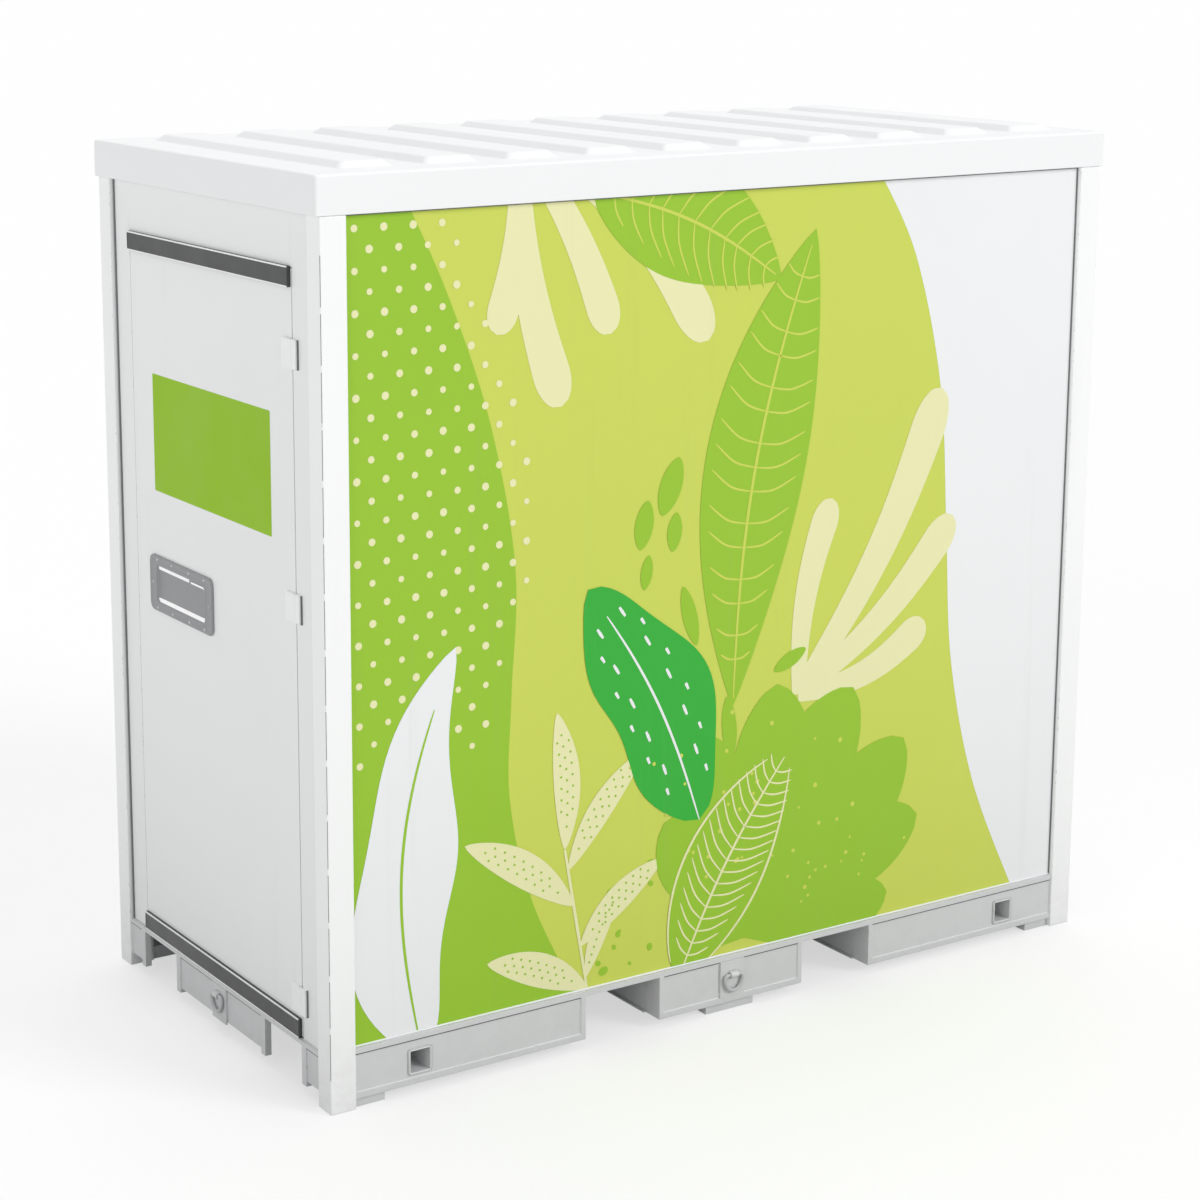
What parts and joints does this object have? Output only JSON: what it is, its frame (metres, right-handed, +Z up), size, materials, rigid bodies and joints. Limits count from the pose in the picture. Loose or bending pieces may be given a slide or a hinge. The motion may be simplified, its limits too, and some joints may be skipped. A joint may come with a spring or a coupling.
{
  "type": "walk-in transformer enclosure",
  "caption": "Walk-in transformer station on a steel skid: ribbed roof, end door with recessed grip, printed long side, fork pockets, sockets and lashing rings.",
  "frame": {"origin": "on the ground, below the middle of the enclosure", "axes": "+X along the length, away from the door end; -Y is the printed long side; +Z up"},
  "size_m": [2.701, 1.362, 2.522],
  "materials": {
    "skid_paint": "satin grey paint",
    "galvanised": "galvanised",
    "pale_paint": "satin pale grey powder coat",
    "white_paint": "satin white powder coat",
    "dark_rubber": "matt",
    "pan_grey": "satin",
    "bright_steel": "zinc plated",
    "tank_paint": "satin",
    "winding_copper": "varnished",
    "resin": "cast resin",
    "black_plastic": "moulded",
    "red_plastic": "moulded",
    "copper_bar": "bright copper"
  },
  "bodies": {
    "enclosure": {"board_box": "pale_paint", "core_and_coils": "winding_copper", "corner_post_front_door": "pale_paint", "corner_post_front_far": "pale_paint", "corner_post_rear_door": "pale_paint", "corner_post_rear_far": "pale_paint", "cross_beam_1": "skid_paint", "cross_beam_2": "skid_paint", "cross_beam_3": "skid_paint", "cross_beam_4": "skid_paint", "door_header": "pale_paint", "door_jamb_hinge": "pale_paint", "door_jamb_lock": "pale_paint", "door_threshold": "skid_paint", "earth_bar": "copper_bar", "end_rail_door": "skid_paint", "end_rail_far": "skid_paint", "floor_plate": "galvanised", "high_voltage_bushings": "resin", "lifting_socket_front_door": "skid_paint", "lifting_socket_front_far": "skid_paint", "lifting_socket_rear_door": "skid_paint", "lifting_socket_rear_far": "skid_paint", "louvre": "pale_paint", "low_voltage_bushings": "resin", "main_breaker": "black_plastic", "ring_bracket_door": "skid_paint", "ring_bracket_far": "skid_paint", "ring_bracket_front": "skid_paint", "ring_bracket_rear": "skid_paint", "roof_cap": "white_paint", "side_rail_front": "skid_paint", "side_rail_rear": "skid_paint", "switchgear_cabinet": "pale_paint", "tank_cover": "tank_paint", "transformer_tank": "tank_paint", "wall_far_end": "pale_paint", "wall_front": "white_paint", "wall_rear": "pale_paint"},
    "door": {"door_leaf": "pale_paint", "door_bar_top": "dark_rubber", "door_bar_bottom": "dark_rubber", "door_seal": "dark_rubber", "hinge_top": "pale_paint", "hinge_middle": "pale_paint", "hinge_bottom": "pale_paint", "grip_pan": "pan_grey"},
    "pad": {"push_pad": "pan_grey"},
    "cam": {"lock_cam": "bright_steel"},
    "rod_upper": {"lock_rod_upper": "bright_steel"},
    "rod_lower": {"lock_rod_lower": "bright_steel"},
    "ring_front": {"lashing_ring_front": "galvanised"},
    "ring_far": {"lashing_ring_far": "galvanised"},
    "ring_rear": {"lashing_ring_rear": "galvanised"},
    "ring_door": {"lashing_ring_door": "galvanised"},
    "tap_knob": {"tap_changer_knob": "black_plastic"},
    "gear_lever": {"switchgear_lever": "black_plastic"},
    "board_door": {"board_door": "pale_paint"},
    "toggle": {"breaker_toggle": "red_plastic"}
  },
  "joints": [
    {"name": "door_hinge", "type": "hinge", "parent": "enclosure", "child": "door", "pos_m": [-1.3265, -0.4865, 1.2025], "axis": [0, 0, 1], "range_deg": [0, 120]},
    {"name": "pad_press", "type": "hinge", "parent": "door", "child": "pad", "pos_m": [-1.3113, 0.2015, 1.2845], "axis": [0, -1, 0], "range_deg": [0, 12]},
    {"name": "cam_turn", "type": "hinge", "parent": "door", "child": "cam", "pos_m": [-1.2757, 0.2015, 1.2475], "axis": [1, 0, 0], "range_deg": [0, 36]},
    {"name": "rod_upper_slide", "type": "slide", "parent": "door", "child": "rod_upper", "axis": [0, 0, 1], "range_m": [0, 0.022]},
    {"name": "rod_lower_slide", "type": "slide", "parent": "door", "child": "rod_lower", "axis": [0, 0, -1], "range_m": [0, 0.022]},
    {"name": "ring_front_swing", "type": "hinge", "parent": "enclosure", "child": "ring_front", "pos_m": [0, -0.6715, 0.113], "axis": [-1, 0, 0], "range_deg": [0, 120]},
    {"name": "ring_far_swing", "type": "hinge", "parent": "enclosure", "child": "ring_far", "pos_m": [1.341, 0, 0.113], "axis": [0, -1, 0], "range_deg": [0, 120]},
    {"name": "ring_rear_swing", "type": "hinge", "parent": "enclosure", "child": "ring_rear", "pos_m": [0, 0.6715, 0.113], "axis": [1, 0, 0], "range_deg": [0, 120]},
    {"name": "ring_door_swing", "type": "hinge", "parent": "enclosure", "child": "ring_door", "pos_m": [-1.341, 0, 0.113], "axis": [0, 1, 0], "range_deg": [0, 120]},
    {"name": "tap_changer_turn", "type": "hinge", "parent": "enclosure", "child": "tap_knob", "pos_m": [1.02, 0.15, 1.2006], "axis": [0, 0, 1], "range_deg": [0, 144]},
    {"name": "switch_lever_turn", "type": "hinge", "parent": "enclosure", "child": "gear_lever", "pos_m": [-0.58, 0.2147, 1.15], "axis": [0, 1, 0], "range_deg": [0, 90]},
    {"name": "board_door_hinge", "type": "hinge", "parent": "enclosure", "child": "board_door", "pos_m": [-0.42, -0.3729, 1.25], "axis": [0, 0, -1], "range_deg": [0, 110]},
    {"name": "breaker_toggle_throw", "type": "hinge", "parent": "enclosure", "child": "toggle", "pos_m": [-0.67, -0.5309, 1.25], "axis": [1, 0, 0], "range_deg": [-25, 25]}
  ],
  "couplings": [
    {"joint": "cam_turn", "follows": "pad_press", "ratio": 3},
    {"joint": "rod_upper_slide", "follows": "pad_press", "m_per_rad": 0.10502},
    {"joint": "rod_lower_slide", "follows": "pad_press", "m_per_rad": 0.10502}
  ]
}
